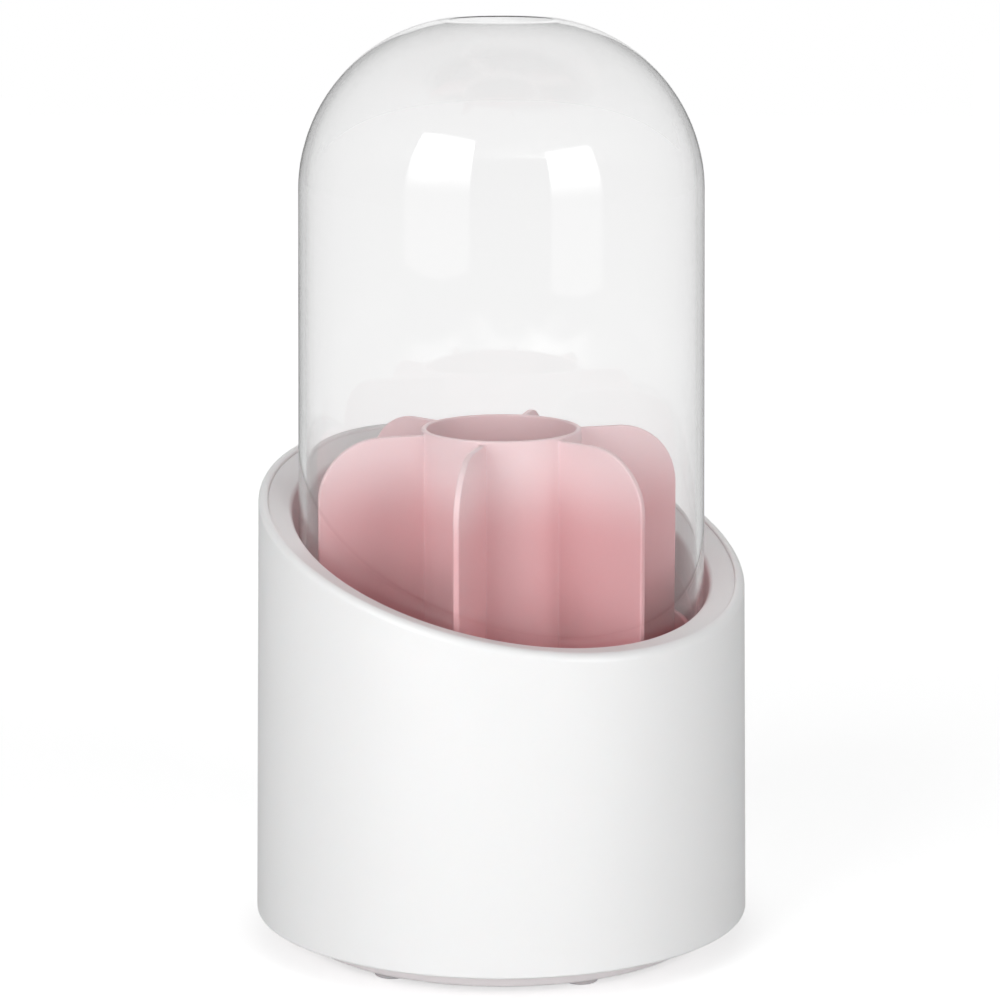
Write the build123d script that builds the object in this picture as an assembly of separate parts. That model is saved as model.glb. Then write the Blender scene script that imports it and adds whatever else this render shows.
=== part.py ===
from build123d import *
import math
import os

# Rotating makeup organizer: a round drum with a slanted mouth turns on a ball race,
# and holds a lift-out divider tray under a clear dome. All lengths are millimetres.
# The origin is the centre of the surface it stands on, and the mouth is low towards -Y.

# Feet and turntable disc
FOOT_DIAMETER = 10.0
FOOT_HEIGHT = 2.5
FOOT_RECESS = 1.0
FOOT_EDGE_RADIUS = 0.5
FOOT_PLAY = 0.1
FOOT_INSET = 6.5
FOOT_COUNT = 6
FOOT_PHASE = 20.0
DISC_SETBACK = 11.5
DISC_THICKNESS = 3.0
DISC_EDGE_RADIUS = 0.8
ACCESS_HOLE_DIAMETER = 9.0

# Ball race
BALL_DIAMETER = 5.0
BALL_COUNT = 12
RACE_INSET = 18.5
RACE_DEPTH = 0.75
RACE_PLAY = 0.10
CAGE_WIDTH = 8.4
CAGE_THICKNESS = 1.6
CAGE_HOLE_PLAY = 0.25
CAGE_LIP_HEIGHT = 0.5
CAGE_LIP_WIDTH = 1.0

# Pivot in the middle of the turntable disc
PIVOT_BOSS_RADIUS = 6.0
PIVOT_PLAY = 0.08
PIVOT_LIFT_PLAY = 0.2
WASHER_RADIUS = 8.0
WASHER_THICKNESS = 1.0
WASHER_HOLE_PLAY = 0.15
PIVOT_SCREW_RADIUS = 2.0
PIVOT_SCREW_LENGTH = 9.0
PIVOT_HEAD_RADIUS = 4.0
PIVOT_HEAD_HEIGHT = 2.6
PIVOT_HOLE_SPARE = 0.5

# Base cover, which closes the drum from below
COVER_THICKNESS = 2.5
COVER_PLAY = 0.2
COVER_HUB_RADIUS = 11.0
COVER_HUB_THICKNESS = 3.0
COVER_PAD_RADIUS = 5.0
COVER_PAD_THICKNESS = 5.0
COVER_INSET = 0.5
COVER_RIB_COUNT = 8
COVER_RIB_WIDTH = 1.6
COVER_RIB_HEIGHT = 2.0

# Four screws that hold cover, shell and liner together
CASE_SCREW_RADIUS = 1.5
CASE_SCREW_LENGTH = 12.0
CASE_SCREW_HEAD_RADIUS = 2.8
CASE_SCREW_HEAD_HEIGHT = 2.0
CASE_SCREW_SINK = 3.0
CASE_SCREW_COUNT = 4
CASE_SCREW_INSET = 8.5
CASE_SCREW_PHASE = 50.0
SCREW_HOLE_PLAY = 0.2
SCREW_THREAD_PLAY = 0.05
HEAD_POCKET_PLAY = 0.4
SCREW_POST_RADIUS = 3.5
SCREW_POST_BORE_SPARE = 1.0
DRIVE_SLOT_WIDTH = 0.8
DRIVE_SLOT_LENGTH = 3.2
DRIVE_SLOT_DEPTH = 1.0

# Outer shell of the drum
SHELL_FOOT_RADIUS = 70.0
SHELL_WALL = 2.75
SHELL_DRAFT = 0.88
SHELL_FOOT_EDGE_RADIUS = 0.8
SHELL_FOOT_LAND = 1.4
RIM_HEIGHT = 116.3
RIM_TILT = 17.4
LIP_OUTER_ROUND = 1.7
LIP_INNER_ROUND = 0.7
LEDGE_WIDTH = 1.6
LEDGE_THICKNESS = 2.0
LEDGE_PLAY = 0.15

# Inner liner: the cup inside the drum, with a dished shoulder under the lip
LINER_WALL = 2.0
LINER_FLOOR_HEIGHT = 56.0
LINER_FLOOR_THICKNESS = 2.0
LINER_FLOOR_GAP = 6.4
LINER_DRAFT = 0.6
LINER_MOUTH_ROUND = 1.2
SHOULDER_DROP = 0.65
SHOULDER_DISH = 2.05
SHOULDER_THICKNESS = 2.0
SHOULDER_PLAY = 0.15
SHOULDER_EDGE_ROUND = 0.3

# Divider tray
TRAY_FLANGE_PLAY = 0.35
TRAY_FLOOR_THICKNESS = 1.6
TRAY_HEIGHT = 90.0
TUBE_RADIUS = 22.45
TUBE_DRAFT = 0.4
TRAY_WALL = 1.5
TRAY_WALL_HEIGHT = 34.0
TRAY_WALL_PLAY = 1.9
FIN_COUNT = 6
FIN_PHASE = 42.0
FIN_THICKNESS = 1.8
FIN_DROP = 1.0
FIN_CORNER_RADIUS = 17.5
FIN_EDGE_ROUND = 0.5
FIN_PLAY = 0.05
TRAY_EDGE_ROUND = 0.5

# Clear dome
DOME_PLAY = 0.5
DOME_WALL = 2.0
DOME_DRAFT = 0.53
DOME_TOP_HEIGHT = 259.5
DOME_SHOULDER_INSET = 9.9
DOME_CAP_RADIUS = 18.0
DOME_CAP_LAND = 1.0
DOME_CAP_SINK = 0.4
DOME_FOOT_ROUND = 0.4

# Radii and heights that follow from the sizes above
DISC_RADIUS = SHELL_FOOT_RADIUS - DISC_SETBACK
FOOT_CIRCLE_RADIUS = DISC_RADIUS - FOOT_INSET
CASE_SCREW_CIRCLE_RADIUS = DISC_RADIUS - CASE_SCREW_INSET
RACE_RADIUS = DISC_RADIUS - RACE_INSET
DISC_BOTTOM = FOOT_HEIGHT - FOOT_RECESS
DISC_TOP = DISC_BOTTOM + DISC_THICKNESS
BALL_RADIUS = BALL_DIAMETER / 2
BALL_HEIGHT = DISC_TOP - RACE_DEPTH + BALL_RADIUS
COVER_BOTTOM = BALL_HEIGHT + BALL_RADIUS - RACE_DEPTH
COVER_TOP = COVER_BOTTOM + COVER_THICKNESS
SHELL_BOTTOM = COVER_BOTTOM - COVER_INSET
HUB_TOP = COVER_BOTTOM + COVER_HUB_THICKNESS
BOSS_TOP = HUB_TOP + PIVOT_LIFT_PLAY
WASHER_TOP = BOSS_TOP + WASHER_THICKNESS
PAD_TOP = COVER_BOTTOM + COVER_PAD_THICKNESS
SCREW_SEAT = COVER_BOTTOM + CASE_SCREW_SINK
LINER_FLOOR_BOTTOM = LINER_FLOOR_HEIGHT - LINER_FLOOR_THICKNESS
SHOULDER_HEIGHT = RIM_HEIGHT - SHOULDER_DROP
MOUTH_HEIGHT = SHOULDER_HEIGHT - SHOULDER_DISH
TRAY_FLOOR_TOP = LINER_FLOOR_HEIGHT + TRAY_FLOOR_THICKNESS
TRAY_TOP = LINER_FLOOR_HEIGHT + TRAY_HEIGHT
TRAY_WALL_TOP = LINER_FLOOR_HEIGHT + TRAY_WALL_HEIGHT
FIN_TOP = TRAY_TOP - FIN_DROP
RIM_SLOPE = math.tan(math.radians(RIM_TILT))
REACH = 3 * SHELL_FOOT_RADIUS
EDGE_TOLERANCE = 0.02


def drafted(radius, start, height, draft):
    """Radius at a height, of a wall that narrows by the draft angle as it rises."""
    return radius - (height - start) * math.tan(math.radians(draft))


def shell_outside(height):
    return drafted(SHELL_FOOT_RADIUS, SHELL_BOTTOM, height, SHELL_DRAFT)


def shell_inside(height):
    return shell_outside(height) - SHELL_WALL


def shoulder_outside(height):
    return shell_inside(height) - SHOULDER_PLAY


def liner_inside(height):
    return drafted(LINER_FLOOR_RADIUS, LINER_FLOOR_HEIGHT, height, -LINER_DRAFT)


def tube_outside(height):
    return drafted(TUBE_RADIUS, TRAY_TOP, height, TUBE_DRAFT)


def tube_inside(height):
    return drafted(TUBE_RADIUS - TRAY_WALL, TRAY_TOP, height, -TUBE_DRAFT)


LINER_FLOOR_RADIUS = shell_inside(LINER_FLOOR_HEIGHT) - LINER_FLOOR_GAP - LINER_WALL
MOUTH_RADIUS = liner_inside(MOUTH_HEIGHT)
SHOULDER_RADIUS = shell_inside(SHOULDER_HEIGHT)
RIM_PEAK = RIM_HEIGHT + SHELL_FOOT_RADIUS * RIM_SLOPE
DOME_FOOT_HEIGHT = TRAY_FLOOR_TOP
DOME_FOOT_RADIUS = liner_inside(DOME_FOOT_HEIGHT) - DOME_PLAY
DOME_SHOULDER_RADIUS = DOME_FOOT_RADIUS - DOME_SHOULDER_INSET
TRAY_WALL_RADIUS = DOME_FOOT_RADIUS - DOME_WALL - TRAY_WALL_PLAY


def revolved(points):
    """Solid turned about Z from (radius, height) corners."""
    with BuildPart() as part:
        with BuildSketch(Plane.XZ):
            with BuildLine():
                Polyline(*points, close=True)
            make_face()
        revolve(axis=Axis.Z)
    return part.part


def cylinder(radius, bottom, top, x=0.0, y=0.0):
    return Pos(x, y, bottom) * extrude(Circle(radius), top - bottom)


def frustum(bottom_radius, bottom, top_radius, top):
    """Round solid between two heights, for drafted walls and bores."""
    return revolved([(0, bottom), (bottom_radius, bottom), (top_radius, top), (0, top)])


def around(count, radius, first_angle=0.0):
    """Centres of features that are spaced evenly on a circle."""
    step = 360.0 / count
    angles = [math.radians(first_angle + step * index) for index in range(count)]
    return [(radius * math.cos(a), radius * math.sin(a)) for a in angles]


def rim_plane(height):
    """Plane through the axis at this height, tilted like the mouth of the drum."""
    tilt = math.radians(RIM_TILT)
    return Plane(origin=(0, 0, height), x_dir=(1, 0, 0), z_dir=(0, -math.sin(tilt), math.cos(tilt)))


def below_rim(height):
    """Everything under the tilted plane at this height."""
    return extrude(rim_plane(height) * Rectangle(2 * REACH, 2 * REACH), -REACH)


def rim_ellipse(radius, height):
    """Where the tilted plane cuts an upright cylinder of this radius."""
    return rim_plane(height) * Ellipse(radius, radius / math.cos(math.radians(RIM_TILT)))


def above_shoulder(lower):
    """Space over the dished shoulder, or over a copy of it that lies lower."""
    slope = SHOULDER_DISH / (SHOULDER_RADIUS - MOUTH_RADIUS)
    inner = MOUTH_RADIUS / 2
    outer = SHELL_FOOT_RADIUS * 1.2
    low = MOUTH_HEIGHT - lower + (inner - MOUTH_RADIUS) * slope
    high = MOUTH_HEIGHT - lower + (outer - MOUTH_RADIUS) * slope
    return loft([rim_ellipse(inner, low), rim_ellipse(outer, high)], ruled=True)


def race_groove():
    """Ring-shaped groove for the balls, shared by the disc and the base cover."""
    return Pos(0, 0, BALL_HEIGHT) * Torus(RACE_RADIUS, BALL_RADIUS + RACE_PLAY)


def cross_slot(top, x, y):
    """Cross recess in the top of a screw head that points up."""
    arm = Pos(x, y, top - DRIVE_SLOT_DEPTH / 2) * Box(DRIVE_SLOT_LENGTH, DRIVE_SLOT_WIDTH, DRIVE_SLOT_DEPTH)
    other = Pos(x, y, top - DRIVE_SLOT_DEPTH / 2) * Box(DRIVE_SLOT_WIDTH, DRIVE_SLOT_LENGTH, DRIVE_SLOT_DEPTH)
    return arm + other


def make_turntable_disc():
    """Disc that stands still under the drum: lower race, pivot boss, foot pockets."""
    disc = cylinder(DISC_RADIUS, DISC_BOTTOM, DISC_TOP)
    disc = fillet(disc.edges().filter_by(GeomType.CIRCLE), DISC_EDGE_RADIUS)
    disc += cylinder(PIVOT_BOSS_RADIUS, DISC_BOTTOM, BOSS_TOP)
    disc -= race_groove()
    bore_bottom = WASHER_TOP - PIVOT_SCREW_LENGTH - PIVOT_HOLE_SPARE
    disc -= cylinder(PIVOT_SCREW_RADIUS + SCREW_THREAD_PLAY, bore_bottom, BOSS_TOP)
    for x, y in around(FOOT_COUNT, FOOT_CIRCLE_RADIUS, FOOT_PHASE):
        disc -= cylinder(FOOT_DIAMETER / 2 + FOOT_PLAY, DISC_BOTTOM, DISC_BOTTOM + FOOT_RECESS, x, y)
    for x, y in around(1, CASE_SCREW_CIRCLE_RADIUS, FOOT_PHASE + 180 / FOOT_COUNT):
        disc -= cylinder(ACCESS_HOLE_DIAMETER / 2, DISC_BOTTOM, DISC_TOP, x, y)
    return disc


def make_foot_pad(x, y):
    """Rubber foot, pressed into its pocket in the turntable disc."""
    pad = cylinder(FOOT_DIAMETER / 2, 0, FOOT_HEIGHT, x, y)
    return fillet(pad.edges().group_by(Axis.Z)[0], FOOT_EDGE_RADIUS)


def make_ball_cage():
    """Flat ring that keeps the balls apart, with a stiffening lip round its outside."""
    bottom = BALL_HEIGHT - CAGE_THICKNESS / 2
    top = BALL_HEIGHT + CAGE_THICKNESS / 2
    inner = RACE_RADIUS - CAGE_WIDTH / 2
    outer = RACE_RADIUS + CAGE_WIDTH / 2
    cage = cylinder(outer, bottom, top) - cylinder(inner, bottom, top)
    lip_top = top + CAGE_LIP_HEIGHT
    cage += cylinder(outer, top, lip_top) - cylinder(outer - CAGE_LIP_WIDTH, top, lip_top)
    for x, y in around(BALL_COUNT, RACE_RADIUS):
        cage -= cylinder(BALL_RADIUS + CAGE_HOLE_PLAY, bottom, top, x, y)
    return cage


def make_ball(x, y):
    return Pos(x, y, BALL_HEIGHT) * Sphere(BALL_RADIUS)


def make_pivot_washer():
    """Steel washer that holds the base cover down on the balls."""
    washer = cylinder(WASHER_RADIUS, BOSS_TOP, WASHER_TOP)
    return washer - cylinder(PIVOT_SCREW_RADIUS + WASHER_HOLE_PLAY, BOSS_TOP, WASHER_TOP)


def make_pivot_screw():
    """Pan-head screw down the middle of the pivot boss."""
    head_top = WASHER_TOP + PIVOT_HEAD_HEIGHT
    head = cylinder(PIVOT_HEAD_RADIUS, WASHER_TOP, head_top)
    head = fillet(head.edges().group_by(Axis.Z)[-1], PIVOT_HEAD_HEIGHT / 3)
    head -= cross_slot(head_top, 0, 0)
    return head + cylinder(PIVOT_SCREW_RADIUS, WASHER_TOP - PIVOT_SCREW_LENGTH, WASHER_TOP)


def make_base_cover():
    """Disc that closes the drum: upper race, pivot hub, screw pads and ribs."""
    radius = shell_outside(SHELL_BOTTOM) - SHELL_FOOT_LAND - COVER_PLAY
    cover = cylinder(radius, COVER_BOTTOM, COVER_TOP)
    cover += cylinder(COVER_HUB_RADIUS, COVER_BOTTOM, HUB_TOP)
    rib_start = COVER_HUB_RADIUS - COVER_RIB_WIDTH
    rib_length = CASE_SCREW_CIRCLE_RADIUS - rib_start
    rib = Box(rib_length, COVER_RIB_WIDTH, COVER_RIB_HEIGHT)
    for index in range(COVER_RIB_COUNT):
        angle = CASE_SCREW_PHASE + 360.0 / COVER_RIB_COUNT * index
        middle = Pos(rib_start + rib_length / 2, 0, COVER_TOP + COVER_RIB_HEIGHT / 2)
        cover += Rot(0, 0, angle) * middle * rib
    for x, y in around(CASE_SCREW_COUNT, CASE_SCREW_CIRCLE_RADIUS, CASE_SCREW_PHASE):
        cover += cylinder(COVER_PAD_RADIUS, COVER_BOTTOM, PAD_TOP, x, y)
        cover -= cylinder(CASE_SCREW_HEAD_RADIUS + HEAD_POCKET_PLAY, COVER_BOTTOM, SCREW_SEAT, x, y)
        cover -= cylinder(CASE_SCREW_RADIUS + SCREW_HOLE_PLAY, SCREW_SEAT, PAD_TOP, x, y)
    cover -= cylinder(PIVOT_BOSS_RADIUS + PIVOT_PLAY, COVER_BOTTOM, HUB_TOP)
    return cover - race_groove()


def make_case_screws():
    """Four like screws, driven up through the cover into the liner's posts."""
    screws = []
    head_bottom = SCREW_SEAT - CASE_SCREW_HEAD_HEIGHT
    for x, y in around(CASE_SCREW_COUNT, CASE_SCREW_CIRCLE_RADIUS, CASE_SCREW_PHASE):
        head = cylinder(CASE_SCREW_HEAD_RADIUS, head_bottom, SCREW_SEAT, x, y)
        head = fillet(head.edges().group_by(Axis.Z)[0], CASE_SCREW_HEAD_HEIGHT / 3)
        head -= cross_slot(head_bottom + DRIVE_SLOT_DEPTH, x, y)
        screws.append(head + cylinder(CASE_SCREW_RADIUS, SCREW_SEAT, SCREW_SEAT + CASE_SCREW_LENGTH, x, y))
    return Compound(children=screws)


def make_outer_shell():
    """Drafted drum wall with a slanted rounded lip, a ledge inside and a cover rebate."""
    top = RIM_PEAK + SHELL_WALL
    wall = frustum(shell_outside(SHELL_BOTTOM), SHELL_BOTTOM, shell_outside(top), top)
    wall &= below_rim(RIM_HEIGHT)
    bore = frustum(shell_inside(SHELL_BOTTOM), SHELL_BOTTOM, shell_inside(top), top)
    shell = wall - bore
    rim = shell.faces().filter_by(Plane.XY, reverse=True).filter_by(GeomType.PLANE).sort_by(Axis.Z)[-1]
    shell = fillet(rim.outer_wire().edges(), LIP_OUTER_ROUND)
    lip = shell.faces().filter_by(GeomType.PLANE).sort_by(Axis.Z)[-1]
    shell = fillet(lip.inner_wires()[0].edges(), LIP_INNER_ROUND)
    foot = shell.faces().filter_by(GeomType.PLANE).sort_by(Axis.Z)[0]
    shell = fillet(foot.outer_wire().edges(), SHELL_FOOT_EDGE_RADIUS)
    rebate = shell_outside(SHELL_BOTTOM) - SHELL_FOOT_LAND
    shell -= cylinder(rebate, SHELL_BOTTOM, COVER_TOP)
    return shell + make_ledge()


def make_ledge():
    """Slanted rib inside the shell, which the liner's shoulder rests on."""
    high = SHOULDER_HEIGHT
    low = MOUTH_HEIGHT - SHOULDER_THICKNESS - LEDGE_THICKNESS
    top = RIM_PEAK
    outer = frustum(shell_inside(0) + SHELL_WALL / 2, 0, shell_inside(top) + SHELL_WALL / 2, top)
    inner = frustum(shell_inside(0) - LEDGE_WIDTH, 0, shell_inside(top) - LEDGE_WIDTH, top)
    ring = (outer - inner) & (below_rim(high) - below_rim(low))
    return ring - above_shoulder(SHOULDER_THICKNESS + LEDGE_PLAY)


def rim_edges(shape, radius_at, low, high):
    """Edges that lie on a drafted wall, between two tilted planes at these heights."""

    def on_wall(edge):
        point = edge @ 0.5
        height = point.Z - point.Y * RIM_SLOPE
        reach = math.hypot(point.X, point.Y)
        return low < height < high and abs(reach - radius_at(point.Z)) < EDGE_TOLERANCE

    return shape.edges().filter_by(on_wall)


def make_inner_liner():
    """Cup inside the drum, with the dished shoulder and four long screw posts."""
    top = RIM_PEAK
    outer_floor = LINER_FLOOR_RADIUS + LINER_WALL
    cup = frustum(outer_floor, LINER_FLOOR_BOTTOM, liner_inside(top) + LINER_WALL, top)
    cup &= below_rim(SHOULDER_HEIGHT)
    cup -= above_shoulder(0)
    flange = frustum(shoulder_outside(0), 0, shoulder_outside(top), top)
    flange &= below_rim(SHOULDER_HEIGHT + SHOULDER_DISH)
    flange &= above_shoulder(SHOULDER_THICKNESS)
    flange -= above_shoulder(0)
    liner = cup + flange
    bore = frustum(liner_inside(LINER_FLOOR_HEIGHT), LINER_FLOOR_HEIGHT, liner_inside(top), top)
    liner -= bore
    middle = MOUTH_HEIGHT - SHOULDER_THICKNESS / 2
    liner = fillet(rim_edges(liner, liner_inside, middle, RIM_HEIGHT), LINER_MOUTH_ROUND)
    middle = SHOULDER_HEIGHT - SHOULDER_THICKNESS / 2
    liner = fillet(rim_edges(liner, shoulder_outside, middle, RIM_HEIGHT), SHOULDER_EDGE_ROUND)
    for x, y in around(CASE_SCREW_COUNT, CASE_SCREW_CIRCLE_RADIUS, CASE_SCREW_PHASE):
        liner += cylinder(SCREW_POST_RADIUS, PAD_TOP, LINER_FLOOR_BOTTOM, x, y)
        bore_top = SCREW_SEAT + CASE_SCREW_LENGTH + SCREW_POST_BORE_SPARE
        liner -= cylinder(CASE_SCREW_RADIUS + SCREW_THREAD_PLAY, PAD_TOP, bore_top, x, y)
    return liner


def make_tray_base():
    """Floor of the tray, with a flange for the dome to stand on and a low round wall."""
    flange = liner_inside(LINER_FLOOR_HEIGHT) - TRAY_FLANGE_PLAY
    wall = cylinder(TRAY_WALL_RADIUS, TRAY_FLOOR_TOP, TRAY_WALL_TOP)
    wall -= cylinder(TRAY_WALL_RADIUS - TRAY_WALL, TRAY_FLOOR_TOP, TRAY_WALL_TOP)
    wall = fillet(wall.edges().group_by(Axis.Z)[-1], TRAY_EDGE_ROUND)
    return wall + cylinder(flange, LINER_FLOOR_HEIGHT, TRAY_FLOOR_TOP)


def make_tray_tube():
    """Drafted tube in the middle of the tray."""
    tube = frustum(tube_outside(TRAY_FLOOR_TOP), TRAY_FLOOR_TOP, TUBE_RADIUS, TRAY_TOP)
    tube -= frustum(tube_inside(TRAY_FLOOR_TOP), TRAY_FLOOR_TOP, tube_inside(TRAY_TOP), TRAY_TOP)
    return fillet(tube.edges().group_by(Axis.Z)[-1], TRAY_EDGE_ROUND)


def make_tray_fin(angle):
    """Upright divider from the tube to the low wall, with one large rounded corner."""
    inner = TUBE_RADIUS - TRAY_WALL
    outer = TRAY_WALL_RADIUS - TRAY_WALL - FIN_PLAY
    side_top = (outer, FIN_TOP - FIN_CORNER_RADIUS)
    corner = (outer - FIN_CORNER_RADIUS, FIN_TOP)
    with BuildPart() as part:
        with BuildSketch(Plane.XZ):
            with BuildLine():
                Polyline((inner, TRAY_FLOOR_TOP), (outer, TRAY_FLOOR_TOP), side_top)
                RadiusArc(side_top, corner, -FIN_CORNER_RADIUS)
                Polyline(corner, (inner, FIN_TOP), (inner, TRAY_FLOOR_TOP))
            make_face()
        extrude(amount=FIN_THICKNESS / 2, both=True)
    outline = part.part.edges().filter_by(lambda edge: abs((edge @ 0.5).Y) > FIN_THICKNESS / 4)
    free = outline.filter_by(lambda edge: (edge @ 0.5).X > TUBE_RADIUS and (edge @ 0.5).Z > TRAY_FLOOR_TOP)
    fin = fillet(free, FIN_EDGE_ROUND)
    tube_foot = tube_outside(TRAY_FLOOR_TOP) + FIN_PLAY
    fin -= frustum(tube_foot, TRAY_FLOOR_TOP, TUBE_RADIUS + FIN_PLAY, TRAY_TOP)
    return Rot(0, 0, angle) * fin


def dome_profile(inset, top):
    """Half section of the dome, moved inwards by an inset and cut flat at the top."""
    run = math.tan(math.radians(DOME_DRAFT))
    centre = DOME_FOOT_RADIUS - DOME_SHOULDER_RADIUS
    rise = math.sqrt(DOME_SHOULDER_RADIUS**2 - (DOME_CAP_RADIUS - centre) ** 2)
    shoulder_height = DOME_TOP_HEIGHT - rise
    centre -= (shoulder_height - DOME_FOOT_HEIGHT) * run
    arc_radius = DOME_SHOULDER_RADIUS - inset
    cap_radius = centre + math.sqrt(arc_radius**2 - (top - shoulder_height) ** 2)
    side_top = (centre + arc_radius, shoulder_height)
    foot = (DOME_FOOT_RADIUS - inset, DOME_FOOT_HEIGHT)
    with BuildSketch(Plane.XZ) as sketch:
        with BuildLine():
            Polyline((0, DOME_FOOT_HEIGHT), foot, side_top)
            RadiusArc(side_top, (cap_radius, top), -arc_radius)
            Polyline((cap_radius, top), (0, top), (0, DOME_FOOT_HEIGHT))
        make_face()
    return sketch.sketch


def make_dome_cover():
    """Clear dome with a drafted side, a round shoulder and a shallow disc in its top."""
    inner_top = DOME_TOP_HEIGHT - DOME_CAP_SINK - DOME_WALL
    dome = revolve(dome_profile(0, DOME_TOP_HEIGHT), Axis.Z)
    dome -= revolve(dome_profile(DOME_WALL, inner_top), Axis.Z)
    land = dome.faces().filter_by(GeomType.PLANE).sort_by(Axis.Z)[-1]
    dome = fillet(land.edges(), DOME_CAP_LAND)
    dome -= cylinder(DOME_CAP_RADIUS - DOME_CAP_LAND, DOME_TOP_HEIGHT - DOME_CAP_SINK, DOME_TOP_HEIGHT)
    foot = dome.faces().sort_by(Axis.Z)[0]
    return fillet(foot.edges(), DOME_FOOT_ROUND)


def main():
    os.makedirs("parts", exist_ok=True)
    parts = {
        "turntable_disc": make_turntable_disc(),
        "ball_cage": make_ball_cage(),
        "pivot_washer": make_pivot_washer(),
        "pivot_screw": make_pivot_screw(),
        "base_cover": make_base_cover(),
        "case_screws": make_case_screws(),
        "outer_shell": make_outer_shell(),
        "inner_liner": make_inner_liner(),
        "tray_base": make_tray_base(),
        "tray_tube": make_tray_tube(),
        "dome_cover": make_dome_cover(),
    }
    for index in range(FIN_COUNT):
        parts[f"tray_fin_{index + 1}"] = make_tray_fin(FIN_PHASE + 360.0 / FIN_COUNT * index)
    for index, (x, y) in enumerate(around(FOOT_COUNT, FOOT_CIRCLE_RADIUS, FOOT_PHASE), start=1):
        parts[f"foot_pad_{index}"] = make_foot_pad(x, y)
    for index, (x, y) in enumerate(around(BALL_COUNT, RACE_RADIUS), start=1):
        parts[f"ball_{index:02d}"] = make_ball(x, y)
    for name, shape in parts.items():
        export_step(shape, f"parts/{name}.step")
        print(f"{name}: {shape.volume:.0f} mm3")


main()
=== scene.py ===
"""Rotating makeup organizer: its visible meshes, finishes and studio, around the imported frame.

A slanted white drum on a ball-race turntable holds a pink divider tray under a clear dome.
Meshes are drawn in millimetres and scaled to metres when they are finished.
"""

from __future__ import annotations

import logging
import math
from dataclasses import dataclass, replace
from enum import Enum
from typing import Any, Iterable, Mapping, Sequence

import bmesh
import bpy
from bmesh.types import BMEdge, BMesh, BMFace, BMVert
from bpy.types import Light, Material, Node, NodeSocket, NodeTree, Object
from mathutils import Matrix, Vector

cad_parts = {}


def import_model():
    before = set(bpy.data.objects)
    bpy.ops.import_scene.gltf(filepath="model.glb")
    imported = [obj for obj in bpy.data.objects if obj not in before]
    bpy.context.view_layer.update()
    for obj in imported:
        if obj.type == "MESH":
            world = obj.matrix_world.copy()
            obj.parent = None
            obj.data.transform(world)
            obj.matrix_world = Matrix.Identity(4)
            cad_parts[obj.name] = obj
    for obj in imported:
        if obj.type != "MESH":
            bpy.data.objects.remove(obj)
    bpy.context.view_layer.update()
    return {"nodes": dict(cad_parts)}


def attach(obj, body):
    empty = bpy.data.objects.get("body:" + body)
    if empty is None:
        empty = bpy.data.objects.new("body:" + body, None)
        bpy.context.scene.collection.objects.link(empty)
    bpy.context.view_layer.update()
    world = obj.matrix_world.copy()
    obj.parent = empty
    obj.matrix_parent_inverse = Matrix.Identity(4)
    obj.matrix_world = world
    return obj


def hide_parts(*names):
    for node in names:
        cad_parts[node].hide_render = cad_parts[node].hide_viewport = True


LOG = logging.getLogger("organizer")
IMAGE_SIDE = 1000
# One millimetre, in the scene's metres.
MM = 0.001

# Corners nearer than this are one corner, and a cut takes corners this near to its plane, in mm.
MERGE_MM = 1e-4
CUT_MM = 1e-5
# How far a corner may stand off a ring that it is looked up by, in mm.
RING_MM = 1e-2
# Edges that turn by more than this, in degrees, stay sharp in the shading.
SHARP_ANGLE = 32.0
# Spacing of the slow drift in colour and gloss that the melt leaves in a moulding, in mm.
FLOW_MM = 30.0
# Sockets of a mix node, which has two of each name for every kind of data.
FACTOR, FLOAT_A, FLOAT_B, COLOUR_A, COLOUR_B = 0, 2, 3, 6, 7
FLOAT_OUT, COLOUR_OUT = 0, 2
# Under a plastic's skin red light travels furthest.
GLOW_SPREAD = (1.0, 0.7, 0.6)

Corner = tuple[float, float]


class Body(Enum):
    """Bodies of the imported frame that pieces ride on."""

    TURNTABLE = "turntable"
    CASING = "casing"
    TRAY = "tray"
    DOME = "dome"


class Side(Enum):
    """Which side of a slanted cut is thrown away."""

    ABOVE = "above"
    BELOW = "below"


# Colours and node trees


def linear(hex_colour: str) -> tuple[float, float, float, float]:
    """Turns an sRGB hex colour into linear light.

    Args:
        hex_colour: Six hex digits, with or without a leading hash.

    Returns:
        Linear red, green, blue and a full alpha.
    """
    digits = hex_colour.lstrip("#")
    shares = [int(digits[i : i + 2], 16) / 255 for i in (0, 2, 4)]
    red, green, blue = [s / 12.92 if s <= 0.04045 else ((s + 0.055) / 1.055) ** 2.4 for s in shares]
    return red, green, blue, 1.0


def add_node(
    tree: NodeTree,
    kind: str,
    settings: Mapping[str, Any] | None = None,
    values: Mapping[str | int, Any] | None = None,
    links: Mapping[str | int, NodeSocket] | None = None,
) -> Node:
    """Adds a node with its settings, socket values and incoming links.

    Args:
        tree: Node tree that gets the node.
        kind: Blender's type name of the node.
        settings: Attributes of the node itself.
        values: Values of unlinked input sockets, by name or index.
        links: Output sockets to link to input sockets, by name or index.

    Returns:
        The new node.
    """
    node = tree.nodes.new(kind)
    for name, value in (settings or {}).items():
        setattr(node, name, value)
    for name, value in (values or {}).items():
        node.inputs[name].default_value = value
    for name, source in (links or {}).items():
        tree.links.new(source, node.inputs[name])
    return node


def new_material(name: str) -> Material:
    """Makes a material with an empty node tree.

    Args:
        name: Plain name of the material.

    Returns:
        The new material.
    """
    material = bpy.data.materials.new(name)
    material.use_nodes = True
    material.node_tree.nodes.clear()
    return material


@dataclass(frozen=True)
class PaintedFootShade:
    """Painted shade: a deeper colour blended into a plastic towards its foot, for the shade low in
    its hollows.

    Args:
        colour: sRGB hex at the low end.
        low_mm: Height at which that colour is reached.
        high_mm: Height above which none of it shows.
    """

    colour: str
    low_mm: float
    high_mm: float


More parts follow.
